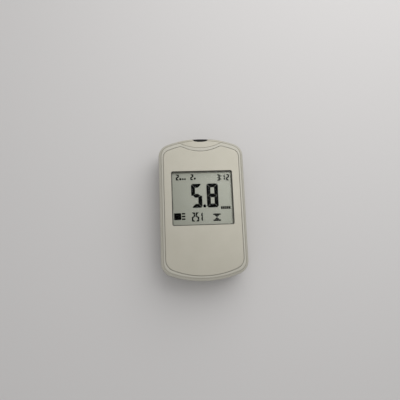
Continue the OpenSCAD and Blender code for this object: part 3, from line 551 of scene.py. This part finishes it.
# %% Battery door
FAR = 60
GRIP_COUNT, GRIP_PITCH, GRIP_HALF, GRIP_W = 6, 1.8, 7.0, 0.8
door_profile = np.concatenate([outer_back, [(0, WRAP_Z), (DOOR_T, WRAP_Z)], inner_edge(DOOR_T)[::-1]])
beside = [block(*sorted((s * x, s * FAR)), -FAR, FAR, -2, z)
          for s in (-1, 1) for x, z in ((TONGUE_HW, 12), (DOOR_HW, TONGUE_Z + 0.01))]
beyond = block(-FAR, FAR, DOOR_Y1, 2 * FAR, -2, 12)
door = carve(solid("tool", carry(body_plan, door_profile)), cut=[beyond] + beside)
grip_line = [(0, BELOW), (0, REAR), (0.06, REAR + 0.2), (0.2, REAR + 0.3)]
grips = [solid("tool", carry(rectangle(-GRIP_HALF, GRIP_HALF, y, y + GRIP_W, 0.39), grip_line))
         for y in BAY_Y0 + 6 + GRIP_PITCH * np.arange(GRIP_COUNT)]
latch = block(-LATCH_HW, LATCH_HW, DOOR_Y1 - 1, DOOR_Y1 + LATCH_L, TONGUE_Z, DOOR_TOP)
carve(door, add=[latch], cut=grips)
done(door, "battery_door_cover", "battery_door", "case_plastic", "battery_door", edge=0.09)

# %% [markdown]
# ## Buttons, feet and screws
# The small turned and moulded pieces are the same idea once more: a round or pill-shaped plan, and a
# profile with the rounding that the tool leaves. The screws' cross recess is cut with two tapered blades.

# %% Buttons
FLANGE_T, FLANGE_HALF, FLANGE_HIGH = 0.6, 6.5, 1.2
memory_profile = rounded([(0, MEMORY_ROOT + FLANGE_T - 0.01), (0, MEMORY_FACE), (1.5, MEMORY_FACE)], 0.4, 6)
flange = block(MEMORY_ROOT, MEMORY_ROOT + FLANGE_T, MEMORY_Y - FLANGE_HALF, MEMORY_Y + FLANGE_HALF,
               PRESS_Z - FLANGE_HIGH, PRESS_Z + FLANGE_HIGH)
memory = carve(solid("tool", carry(memory_pill(), memory_profile), (2, 0, 1)), add=[flange])
done(memory, "memory_button_cap", "memory_button", "button_plastic", "memory_button", edge=0.06)


def turned(centre, line, radius, steps=48):
    """A turned piece: the line of (radius, height) points goes once round the centre."""
    profile = np.array(line, float)
    widest = profile[:, 0].max()
    return solid("tool", carry(circle(centre, widest, steps),
                               rounded(np.stack([widest - profile[:, 0], profile[:, 1]], axis=1), radius)))


set_line = [(0.3, 0.75), (1.5, 0.78), (2.2, 0.9), (2.2, 2.6), (3.2, 2.6), (3.2, 3.4), (1.3, 3.4),
            (1.3, 11.7), (0.3, 11.7)]
set_button = turned((SET_X, FREE_Y), set_line, [0.5, 0.3, 0.1, 0.1, 0.1, 0.1, 0.1])
done(set_button, "set_button_cap", "set_button", "button_plastic", "set_button")

# %% Feet and screws
def gather(pieces):
    """One object from several meshes."""
    with bpy.context.temp_override(active_object=pieces[0], object=pieces[0],
                                   selected_editable_objects=pieces, selected_objects=pieces):
        bpy.ops.object.join()
    return pieces[0]


foot_line = [(0.3, 0.0), (2.2, 0.0), (2.5, 0.3), (2.5, 1.0), (0.3, 1.0)]
done(gather([turned(f, foot_line, [0.4, 0.3, 0.05]) for f in feet]),
     "rubber_feet_set", "housing", "foot_rubber", "rubber_feet")

HEAD_LOW, HEAD_R, SHANK_R, TIP_Z = 3.3, 1.9, 1.0, 13.0
CROSS_LONG, CROSS_THIN, CROSS_END = 1.14, 0.25, 4.1
screw_line = [(0.3, HEAD_LOW), (1.6, HEAD_LOW), (HEAD_R, HEAD_LOW + 0.3), (HEAD_R, HEAD_TOP),
              (SHANK_R, HEAD_TOP), (SHANK_R, TIP_Z - 0.6), (0.6, TIP_Z), (0.2, TIP_Z)]


def screw(centre):
    """A pan head with a cross recess over its shank."""
    x, y = centre
    line = [(0, HEAD_LOW - 0.8), (0, HEAD_LOW), (0.12, CROSS_END)]
    blades = [solid("tool", carry(rectangle(x - w, x + w, y - l, y + l, 0.05, 2), line))
              for w, l in ((CROSS_LONG, CROSS_THIN), (CROSS_THIN, CROSS_LONG))]
    return carve(turned(centre, screw_line, [0.5, 0.4, 0.08, 0.1, 0.3, 0.1], 36), cut=blades)


done(gather([screw(s) for s in screws]), "case_screws_set", "housing", "screw_steel", "case_screws",
     edge=0.04)

# %% [markdown]
# ## Batteries and springs
# A cell is a turned piece with a nub at one end. Its printed sleeve stops short of the metal at both
# ends, so the mesh carries an attribute, the way along the cell, that the finish reads. A contact spring
# is a wire carried along a cone-shaped helix, with its last bits straight into the plate and the cell.

# %% Battery cells
CELL_R, CELL_L, SPRING_L = 5.25, 44.5, 4.0
cell_line = [(0.5, 0.08), (3.4, 0.08), (3.7, 0.0), (4.7, 0.0), (CELL_R, 0.5), (CELL_R, 43.2), (4.9, 43.7),
             (2.3, 43.7), (1.9, 43.75), (1.9, CELL_L), (0.3, CELL_L)]
cell_rounds = [0.1, 0.1, 0.4, 0.5, 0.3, 0.2, 0.1, 0.1, 0.3]


def cell(name, x, y, way):
    """The cell's line turned round the Y axis from y, towards +Y or, with way = -1, towards -Y."""
    profile = np.array(cell_line)
    line = rounded(np.stack([CELL_R - profile[:, 0], profile[:, 1]], axis=1), cell_rounds)
    grid = carry(circle((0, 0), CELL_R, 64), line)
    along = grid[:, :, 2].ravel() / CELL_L
    grid = grid * [way, 1, way] + [x, -CELL_Z, y]
    piece = solid(name, grid * [1, -1, 1], (0, 2, 1))
    piece.data.attributes.new("along", "FLOAT", "POINT").data.foreach_set("value", along.astype(np.float32))
    return piece


cell_start = PLATE_T + SPRING_L
for name, x, y, way in (("battery_left", -CELL_X, BAY_Y0 + cell_start, 1),
                        ("battery_right", CELL_X, BAY_Y1 - cell_start, -1)):
    done(cell(name, x, y, way), name + "_cell", "housing", "cell_wrap", name)

# %% Contact springs
def wire(path, outward, d, sides=12):
    """A round wire: at each point of the path a ring of radius d / 2 in the plane square to the path, whose
    first direction is outward made square to it."""
    path, outward = np.array(path, float), np.array(outward, float)
    t = np.gradient(path, axis=0)
    t /= np.linalg.norm(t, axis=1, keepdims=True)
    u = outward - (outward * t).sum(1, keepdims=True) * t
    u /= np.linalg.norm(u, axis=1, keepdims=True)
    v = np.cross(t, u)
    a = np.linspace(0, 2 * np.pi, sides, endpoint=False)[None, :, None]
    return path[:, None] + d / 2 * (np.cos(a) * u[:, None] + np.sin(a) * v[:, None])


TURNS, WIRE_D, BASE_R, TIP_R, PER_TURN, STRAIGHT = 3.5, 0.5, 3.7, 1.9, 8, 0.35
eighths = PER_TURN * TURNS
k = np.linspace(0.5, eighths - 0.5, 109)
r, a = BASE_R - (BASE_R - TIP_R) * k / eighths, np.radians(360 / PER_TURN * k)
helix = np.stack([r * np.cos(a), r * np.sin(a), WIRE_D + (SPRING_L - 2 * WIRE_D) * k / eighths], axis=1)
end_a = 2 * math.pi * TURNS
tip = [TIP_R * math.cos(end_a), TIP_R * math.sin(end_a)]
spring = np.concatenate([[(BASE_R, 0, 0), (BASE_R, 0, STRAIGHT)], helix,
                         [(*tip, SPRING_L - STRAIGHT), (*tip, SPRING_L)]])
coils = []
for x, y, way in ((-CELL_X, BAY_Y0 + PLATE_T, 1), (CELL_X, BAY_Y1 - PLATE_T, -1)):
    grid = wire(spring, spring * [1, 1, 0], WIRE_D)
    grid = np.stack([x + grid[:, :, 0], y + way * grid[:, :, 2], CELL_Z - way * grid[:, :, 1]], axis=2)
    coils.append(solid("spring", grid))
done(gather(coils), "battery_springs_wire", "housing", "nickel_steel", "battery_springs", sharp=60)

# %% [markdown]
# ## Display
# The window is a clear plate with softened edges. Under it lies the display glass, and on that the
# segments: flat bars with mitred ends and a thin gap between them. Each digit is a choice from the same
# seven bars, so one function makes them all. What the photograph shows beside the figures is left as
# plain bars and a plain symbol.

# %% Window
z0, z1 = WINDOW[:, 2]
window_profile = [(0.1, z0), (0, z0 + 0.1), (0, z1 - 0.18), (0.05, z1 - 0.06), (0.18, z1)]
window = solid("tool", carry(window_plan(0, WINDOW_R, 8), window_profile))
done(window, "display_window_lens", "housing", "clear_lens", "display_window")

# %% Segments of a figure
BARS = {"1": "bc", "2": "abged", "3": "abgcd", "5": "afgcd", "8": "abcdefg"}


def bars(w, h, t, gap):
    """The seven bars of a figure w wide and h high, t thick. The corners are cut by c, neighbours meet at
    45 degrees with a gap between them, and the middle bar is pointed. The other side and end are mirror
    images: (x, y) goes to (w - x, y) and (x, h - y), in the other order, so that it still turns left."""
    c, m, tip = 0.35 * t, h / 2, 0.4 * t
    top = np.array([(c, h), (c / 2 + gap, h - c / 2), (t + gap, h - t), (w - t - gap, h - t),
                    (w - c / 2 - gap, h - c / 2), (w - c, h)])
    left = np.array([(0, h - c), (0, m + gap), (tip, m + gap), (t, m + t / 2 + gap), (t, h - t - gap),
                     (c / 2, h - c / 2 - gap)])
    middle = np.array([(tip + gap, m), (t + gap, m - t / 2), (w - t - gap, m - t / 2), (w - tip - gap, m),
                       (w - t - gap, m + t / 2), (t + gap, m + t / 2)])
    across, over = np.array([[-1, 1], [1, -1]]), np.array([[w, 0], [0, h]])
    right, low_left, bottom = [(shape * across[k] + over[k])[::-1]
                               for shape, k in ((left, 0), (left, 1), (top, 1))]
    low_right = (right * across[1] + over[1])[::-1]
    return dict(a=top, b=right, c=low_right, d=bottom, e=low_left, f=left, g=middle)


def figure(character, x, y, w, h, t, gap):
    """The bars that are lit for a character, moved to (x, y)."""
    shapes = bars(w, h, t, gap)
    return [shapes[bar] + [x, y] for bar in BARS[character]]


def plates(shapes, z0, z1):
    """Flat plates: every outline of the list is lifted from z0 to z1, with its walls and two faces."""
    return gather([solid("plate", carry((shape, 0 * shape), [(0, z0), (0, z1)])) for shape in shapes])


# %% Display segments
GLASS_TOP, SEGMENT_T = box("lcd_glass")[1, 2], 0.05

# Each row of figures: characters, x of each, then y, width, height, thickness and gap
big = [("5", [-6.75], 0.3, 6.65, 14.95, 2.4, 0.07), ("8", [2.75], 0.3, 7.1, 14.95, 2.4, 0.07)]
small = [("251", [-6.9, -4.5, -2.3], -8.1, 2.1, 5.6, 0.9, 0.02),
         ("22", [-15.95, -7.0], 17.7, 2.0, 3.7, 0.82, 0.015),
         ("312", [9.4, 12.5, 15.15], 17.0, 2.0, 3.95, 0.8, 0.015)]
# Each dot: x, y, radius and steps. The first is the point between the big figures
dots = [(1.3, 1.35, 1.0, 24), (-13.1, 18.4, 0.7, 16), (-11.6, 18.4, 0.55, 16), (-10.3, 18.4, 0.55, 16),
        (-4.2, 18.6, 0.65, 16), (11.95, 18.0, 0.42, 16), (11.95, 19.9, 0.42, 16)]
UNIT_X, UNIT_PITCH, UNIT_COUNT = 11.2, 1.22, 5

shapes = [bar for row, places, *sizes in big + small for character, x in zip(row, places)
          for bar in figure(character, x, *sizes)]
shapes += [circle((x, y), r, steps)[0] for x, y, r, steps in dots]
# The unit's blocks, then the strip's plate and its three bars, then the hourglass: two bars, two triangles
shapes += [rectangle(x, x + 1.0, -0.9, 0.85, 0.12, 3)[0]
           for x in UNIT_X + UNIT_PITCH * np.arange(UNIT_COUNT)]
shapes += [rectangle(-17.6, -13.3, -6.9, -2.7, 0.3, 3)[0]]
shapes += [rectangle(-12.9, -10.8, y, y + 0.9, 0.1, 3)[0] for y in (-6.9, -5.25, -3.6)]
shapes += [rectangle(6.2, 10.8, y, y + 0.85, 0.1, 3)[0] for y in (-8.1, -4.4)]
shapes += [rounded_polygon([(6.9, y), (8.5, -5.8), (10.1, y)][::way], 0.1, 3)[0]
           for y, way in ((-4.5, 1), (-7.15, -1))]
segments = plates(shapes, GLASS_TOP, GLASS_TOP + SEGMENT_T)
print(len(shapes), "plates on the display")
done(segments, "display_segments", "housing", "black_plastic")

# %% [markdown]
# ## Finishes
# A finish is a small program: numbers and colours flow from the place on the piece to the sockets of one
# Principled shader. Drawn as boxes and wires it is hard to follow, so here a wire is a Python value. An
# expression on it adds the Math nodes, and every other node comes from one method. What is the same all
# over the piece is set on the shader's own socket.

# %% The maths of a finish
def colour(r, g, b):
    """The linear colour of a screen colour from 0 to 255: ((c / 255 + 0.055) / 1.055) ** 2.4."""
    return tuple(((v / 255 + 0.055) / 1.055) ** 2.4 for v in (r, g, b)) + (1.0,)


class Wire:
    """An output socket that can be calculated with."""

    def __init__(self, finish, socket):
        self.finish, self.socket = finish, socket

    def sum(self, operation, *values):
        """One Math node."""
        return self.finish.node("ShaderNodeMath", {"operation": operation}, dict(enumerate(values)))

    def __add__(self, other): return self.sum("ADD", self, other)
    def __sub__(self, other): return self.sum("SUBTRACT", self, other)
    def __rsub__(self, other): return self.sum("SUBTRACT", other, self)
    def __mul__(self, other): return self.sum("MULTIPLY", self, other)
    def __mod__(self, other): return self.sum("FLOORED_MODULO", self, other)
    def __pow__(self, other): return self.sum("POWER", self, other)
    def __abs__(self): return self.sum("ABSOLUTE", self)
    def __gt__(self, other): return self.sum("GREATER_THAN", self, other)
    def __lt__(self, other): return self.sum("LESS_THAN", self, other)

    def step(self, low, high):
        """0 below low and 1 above high, straight between."""
        return self.finish.node("ShaderNodeMapRange", {}, {0: self, 1: low, 2: high, 3: 0.0, 4: 1.0})


class Finish:
    """A material made by one Principled shader, whose sockets are given as shader(**sockets) says."""

    def __init__(self, name):
        self.material = bpy.data.materials.new(name)
        self.material.use_nodes = True
        self.tree = self.material.node_tree
        self.tree.nodes.clear()

    def node(self, kind, settings, sockets, out=0):
        """Adds a node: first its settings, then its sockets, by name or number, as values or wires."""
        made = self.tree.nodes.new(kind)
        for name, value in settings.items():
            setattr(made, name, value)
        for name, value in sockets.items():
            if isinstance(value, Wire):
                self.tree.links.new(value.socket, made.inputs[name])
            else:
                made.inputs[name].default_value = value
        return Wire(self, made.outputs[out])

    def place(self):
        """The point on the piece, in metres."""
        return self.node("ShaderNodeTexCoord", {}, {}, "Object")

    def axes(self):
        """x, y and z of the point on the piece, in millimetres."""
        split = self.node("ShaderNodeSeparateXYZ", {}, {0: self.place()})
        return [Wire(self, o) * METRE for o in split.socket.node.outputs]

    def noise(self, grain, detail=2.0):
        """A cloud from 0 to 1 whose grains are about this many millimetres wide."""
        return self.node("ShaderNodeTexNoise", {},
                         {"Vector": self.place(), "Scale": METRE / grain, "Detail": detail})

    def blend(self, factor, a, b):
        """Colour a where the factor is 0 and b where it is 1."""
        return self.node("ShaderNodeMix", {"data_type": "RGBA"}, {0: factor, 6: a, 7: b}, 2)

    def bump(self, height, depth):
        """The normal of a surface whose height, from 0 to 1, stands for depth millimetres."""
        return self.node("ShaderNodeBump", {}, {"Height": height, "Distance": depth * MM, "Strength": 1.0})

    def shader(self, **sockets):
        """The Principled shader and the material's output. Underscores in a name stand for spaces."""
        named = {name.replace("_", " "): value for name, value in sockets.items()}
        surface = self.node("ShaderNodeBsdfPrincipled", {}, named, "BSDF")
        output = self.tree.nodes.new("ShaderNodeOutputMaterial")
        self.tree.links.new(surface.socket, output.inputs["Surface"])
        return self.material


finishes = {}

# %% [markdown]
# ### Moulded plastics
# The covers are moulded in plastic and sprayed a satin silver with a little green and yellow in it. Spark
# erosion leaves a grain of about a fifth of a millimetre in the mould, and the flakes in the paint lie a
# little differently from place to place. The panel's paint is smoother.

# %% Painted case and panel
def satin(name, shade, flake, grain, depth, roughness, metallic):
    """Satin paint: a base colour that wanders a little towards a lighter flake, over a fine grain."""
    f = Finish(name)
    drift = f.noise(9.0, 3.0) * 0.35 + f.noise(0.12, 1.0) * 0.65
    finishes[name] = f.shader(Base_Color=f.blend(drift.step(0.35, 0.65), shade, flake),
                              Roughness=f.noise(0.2) * 0.08 + (roughness - 0.04), Metallic=metallic,
                              Normal=f.bump(f.noise(grain), depth))


satin("case_plastic", colour(174, 171, 159), colour(182, 179, 168), 0.22, 0.006, 0.42, 0.25)
satin("panel_plastic", colour(174, 170, 156), colour(181, 177, 164), 0.15, 0.003, 0.38, 0.25)
satin("button_plastic", colour(160, 158, 148), colour(168, 166, 157), 0.2, 0.004, 0.45, 0.1)


# %% Plain plastics and rubbers
def plain(name, shade, roughness, grain, depth, **more):
    """One colour, with a grain in the surface and a slight wander in its gloss."""
    f = Finish(name)
    finishes[name] = f.shader(Base_Color=shade, Roughness=f.noise(1.5) * 0.1 + (roughness - 0.05),
                              Normal=f.bump(f.noise(grain), depth), **more)


plain("black_adhesive", colour(78, 78, 72), 0.6, 0.3, 0.004)
plain("black_plastic", colour(22, 22, 22), 0.6, 0.2, 0.004, Specular_IOR_Level=0.25)
plain("segment_ink", colour(10, 11, 9), 0.8, 0.3, 0.0005, Specular_IOR_Level=0.0)
plain("white_plastic", colour(232, 232, 226), 0.4, 0.3, 0.003)
plain("foot_rubber", colour(34, 34, 34), 0.75, 0.25, 0.01)

# %% [markdown]
# ### Window and display
# The window is clear, so it shows only by its reflection. That is a mirror with very little cover: the
# Alpha is the share of light that a clear surface throws back. It is 0.035 head-on and grows with the
# fifth power of the tilt, which is Schlick's rule. The Fresnel node gives the same from outside, but from
# inside the plate it turns opaque at a slant and hides the display. The display's back is a reflector
# with a fine brushed grain behind grey-green glass.

# %% Clear window and display glass
f = Finish("clear_lens")
head_on = 0.035
tilt = f.node("ShaderNodeLayerWeight", {}, {"Blend": 0.5}, "Facing")
finishes["clear_lens"] = f.shader(Base_Color=(0.05, 0.052, 0.055, 1), Metallic=1.0, Roughness=0.05,
                                  Alpha=tilt ** 5 * (1 - head_on) + head_on)
f = Finish("display_glass")
x, y, _ = f.axes()
brushed = f.node("ShaderNodeTexNoise", {"noise_dimensions": "2D"}, {
    "Vector": f.node("ShaderNodeCombineXYZ", {}, {0: x * 0.2, 1: y * 6.0}), "Scale": 1.5, "Detail": 3.0})
finishes["display_glass"] = f.shader(
    Base_Color=f.blend(brushed, colour(148, 150, 137), colour(158, 160, 148)), Metallic=0.35, Roughness=0.3)

# %% [markdown]
# ### Metals
# Bare metal is all reflection, so what tells one from another is its tint and how rough it is. Stamped
# and plated parts have a faint stain of clouds in their gloss.

# %% Metals
def metal(name, shade, roughness):
    """Plated or stamped metal: full metal, with clouds in its roughness and a fine grain."""
    f = Finish(name)
    finishes[name] = f.shader(Base_Color=shade, Metallic=1.0, Normal=f.bump(f.noise(0.5), 0.002),
                              Roughness=f.noise(2.0, 4.0) * 0.15 + (roughness - 0.07))


metal("gold_plate", colour(232, 196, 112), 0.25)
metal("nickel_steel", colour(214, 211, 204), 0.28)
metal("switch_steel", colour(200, 200, 198), 0.35)
metal("screw_steel", colour(190, 191, 194), 0.35)

# %% [markdown]
# ### Pieces of two stuffs
# Some pieces are one solid in the model but two stuffs on the real thing: a cell has a printed sleeve and
# bare metal ends, a chip has a resin body and tinned legs, a capacitor has silvered ends. A mask made
# from the place on the piece chooses between the two in colour, metal and gloss.

# %% Cells, chips and capacitors
def two_stuffs(f, mask, first, second):
    """Each stuff is (colour, metallic, roughness): the first where the mask is 0, the second where it
    is 1."""
    (shade_a, metal_a, rough_a), (shade_b, metal_b, rough_b) = first, second
    return dict(Base_Color=f.blend(mask, shade_a, shade_b), Metallic=mask * (metal_b - metal_a) + metal_a,
                Roughness=mask * (rough_b - rough_a) + rough_a)


tin = (colour(205, 205, 203), 1.0, 0.35)
f = Finish("cell_wrap")
along = f.node("ShaderNodeAttribute", {"attribute_name": "along"}, {}, "Fac")
band = (along > 0.80) * (along < 0.955)
sleeve = f.blend(band, colour(38, 84, 148), colour(196, 168, 96))
bare = (along > 0.972) + (along < 0.006)
finishes["cell_wrap"] = f.shader(Base_Color=f.blend(bare, sleeve, colour(205, 203, 198)), Metallic=bare,
                                 Roughness=0.3, Coat_Weight=(1 - bare) * 0.5)

for name, middle, half in (("microcontroller", 0.0, 5.0), ("measuring_chip", -10.2, 2.0)):
    f = Finish(name)
    x, _, _ = f.axes()
    legs = abs(x - middle) > half + 0.01
    finishes[name] = f.shader(**two_stuffs(f, legs, (colour(34, 34, 36), 0.0, 0.55), tin),
                              Normal=f.bump(f.noise(0.2), 0.004))
CAPACITOR_Y, BODY_HALF = 23.1 - HALF_L, 0.72
f = Finish("ceramic")
_, y, _ = f.axes()
silvered = abs(y - CAPACITOR_Y) > BODY_HALF
finishes["ceramic"] = f.shader(**two_stuffs(f, silvered, (colour(186, 152, 106), 0.0, 0.45), tin))

# %% Board and rubber connectors
f = Finish("board_laminate")
x, y, _ = f.axes()
flat = f.node("ShaderNodeCombineXYZ", {}, {0: x, 1: y})
cells = f.node("ShaderNodeTexVoronoi", {"feature": "DISTANCE_TO_EDGE", "voronoi_dimensions": "2D"},
               {"Vector": flat, "Scale": 0.35, "Randomness": 0.6}, "Distance")
tracks = cells < 0.06
finishes["board_laminate"] = f.shader(
    Base_Color=f.blend(tracks, colour(24, 92, 52), colour(46, 128, 78)), Roughness=0.3, Coat_Weight=0.5,
    Normal=f.bump(tracks, 0.03))
LAYERS = 0.36
f = Finish("zebra_rubber")
x, _, _ = f.axes()
finishes["zebra_rubber"] = f.shader(
    Base_Color=f.blend((x % LAYERS) > LAYERS / 2, colour(40, 40, 42), colour(176, 170, 168)), Roughness=0.7)

# %% [markdown]
# ## Dressing every piece
# Each piece takes the finish of its slot in the record. Three have their own: the two chips and the
# segments.

# %% Dressing
slots = {part["node"]: part["material_slot"] for part in frame["record"]["subparts"]}
own = {"microcontroller": "microcontroller", "measuring_chip": "measuring_chip",
       "display_segments": "segment_ink"}
for piece in [o for o in bpy.data.objects if o.type == "MESH"]:
    finish = own.get(piece.name) or piece.get("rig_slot") or slots[piece.name]
    piece.data.materials.clear()
    piece.data.materials.append(finishes[finish])
for piece in nodes.values():
    piece.modifiers.new("weld", "WELD").merge_threshold = 1e-7
    piece.modifiers.new("normals", "WEIGHTED_NORMAL").keep_sharp = True
print(len(finishes), "finishes")

# %% [markdown]
# ## Floor, light and camera
# The meter lies on a plain pale floor. One large soft lamp stands beyond the port end, so that the face
# grows a little darker towards the bottom end. A small one hangs over the right side and lifts the face
# there, and the world fills the rest evenly.

# %% Floor
floor_mesh = bpy.data.meshes.new("floor")
reach = 3
floor_mesh.from_pydata([(-reach, -reach, 0), (reach, -reach, 0), (reach, reach, 0), (-reach, reach, 0)], [],
                       [(0, 1, 2, 3)])
floor = bpy.data.objects.new("floor", floor_mesh)
bpy.context.scene.collection.objects.link(floor)
f = Finish("floor")
floor_mesh.materials.append(f.shader(Base_Color=colour(206, 204, 203), Roughness=0.9))

# %% Light
world = bpy.data.worlds.new("studio")
world.use_nodes = True
world.node_tree.nodes["Background"].inputs["Color"].default_value = (1, 1, 1, 1)
world.node_tree.nodes["Background"].inputs["Strength"].default_value = 0.54
bpy.context.scene.world = world


def lamp(name, place, target, size, power):
    """A square soft lamp of this size at the place, turned towards the target."""
    data = bpy.data.lights.new(name, "AREA")
    data.size, data.energy = size, power
    made = bpy.data.objects.new(name, data)
    made.location = place
    made.rotation_euler = (Vector(target) - Vector(place)).to_track_quat("-Z", "Y").to_euler()
    bpy.context.scene.collection.objects.link(made)


lamp("key", (0.13, 0.24, 0.27), (0, 0, 0), 0.45, 0.9)
lamp("card", (0.10, 0.075, 0.42), (0.02, 0.0, 0.02), 0.15, 0.11)

# %% Camera
camera_data = bpy.data.cameras.new("camera")
camera_data.lens, camera_data.sensor_width = 37.8, 36
camera_data.clip_start, camera_data.clip_end = 0.01, 50
camera = bpy.data.objects.new("camera", camera_data)
camera.location = (-0.0196, -0.0401, 0.27158)
camera.rotation_euler = [math.radians(v) for v in (10.269, -3.692, -2.257)]
bpy.context.scene.collection.objects.link(camera)
bpy.context.scene.camera = camera
bpy.context.scene.view_settings.view_transform = "Standard"
